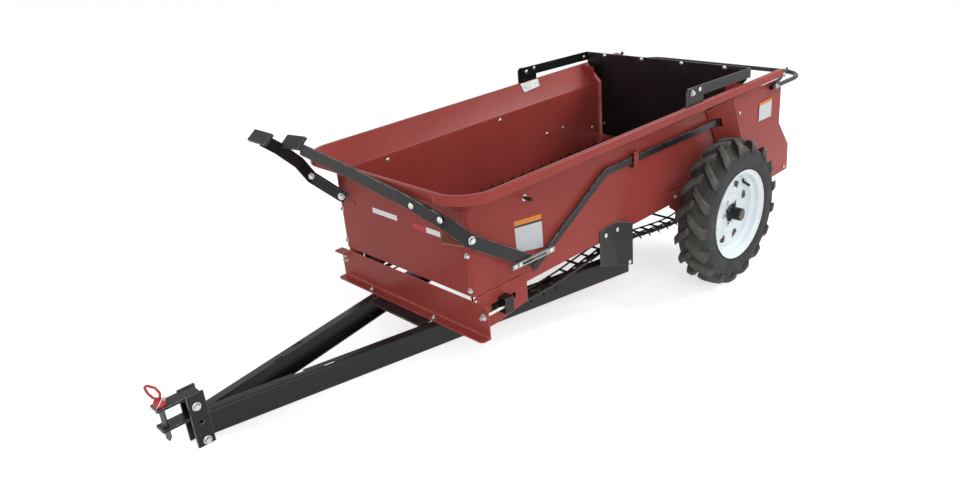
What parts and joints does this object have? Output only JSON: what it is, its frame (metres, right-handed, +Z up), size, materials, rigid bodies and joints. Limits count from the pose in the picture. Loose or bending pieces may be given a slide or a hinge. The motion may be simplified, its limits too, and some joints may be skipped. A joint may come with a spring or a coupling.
{
  "type": "manure spreader",
  "caption": "Compact ground-driven manure spreader: flared steel box with apron chain, beater and lifting end gate, on two lugged wheels with an A-frame tongue and drawbar clevis.",
  "frame": {"origin": "centre of the machine's bounding box, on the ground", "axes": "+Z up, +X to the machine's left side, -Y forward to the hitch, +Y to the rear"},
  "size_m": [1.294, 3.3704, 0.9723],
  "materials": {
    "red_paint": "glossy enamel",
    "black_paint": "semi-gloss powder coat",
    "tyre_rubber": "moulded rubber, dusty on the lugs",
    "white_rim": "gloss white enamel",
    "zinc": "zinc plated",
    "steel": "oiled black steel",
    "handle_red": "dipped plastic coat"
  },
  "bodies": {
    "spreader": {"apron_chain": "steel", "apron_shaft_front": "black_paint", "apron_shaft_rear": "black_paint", "axle": "steel", "axle_plate_left": "red_paint", "axle_plate_right": "red_paint", "bolster": "red_paint", "control_link_left": "zinc", "control_link_right": "zinc", "control_strap_left": "black_paint", "control_strap_right": "black_paint", "drawbar_pin": "zinc", "drawbar_pin_handle": "handle_red", "drive_shield_left": "red_paint", "drive_shield_right": "red_paint", "floor": "red_paint", "front_panel": "red_paint", "gate_bracket_left": "black_paint", "gate_bracket_right": "black_paint", "hanger_left": "black_paint", "hanger_right": "black_paint", "hitch_cheek_left": "black_paint", "hitch_cheek_right": "black_paint", "hitch_clevis": "black_paint", "lever_lower": "black_paint", "lever_upper": "black_paint", "rear_guard": "black_paint", "side_panel_left": "red_paint", "side_panel_right": "red_paint", "takeup_block_left": "black_paint", "takeup_block_right": "black_paint", "takeup_plate_left": "red_paint", "takeup_plate_right": "red_paint", "takeup_screw_left": "zinc", "takeup_screw_right": "zinc", "tongue_channel_left": "black_paint", "tongue_channel_right": "black_paint", "tongue_tie": "black_paint"},
    "beater": {"beater_rotor": "black_paint"},
    "end_gate": {"gate_frame": "black_paint", "gate_panel": "black_paint"},
    "wheel_left": {"hub_left": "black_paint", "rim_left": "white_rim", "tyre_left": "tyre_rubber"},
    "wheel_right": {"hub_right": "black_paint", "rim_right": "white_rim", "tyre_right": "tyre_rubber"}
  },
  "joints": [
    {"name": "wheel_left_spin", "type": "hinge", "parent": "spreader", "child": "wheel_left", "pos_m": [0.566, 0.86066, 0.343], "axis": [1, 0, 0], "continuous": true},
    {"name": "wheel_right_spin", "type": "hinge", "parent": "spreader", "child": "wheel_right", "pos_m": [-0.566, 0.86066, 0.343], "axis": [1, 0, 0], "continuous": true},
    {"name": "beater_spin", "type": "hinge", "parent": "spreader", "child": "beater", "pos_m": [0, 1.35756, 0.67721], "axis": [1, 0, 0], "continuous": true},
    {"name": "end_gate_lift", "type": "hinge", "parent": "spreader", "child": "end_gate", "pos_m": [0, 0.60929, 0.92719], "axis": [1, 0, 0], "range_deg": [0, 75]}
  ]
}
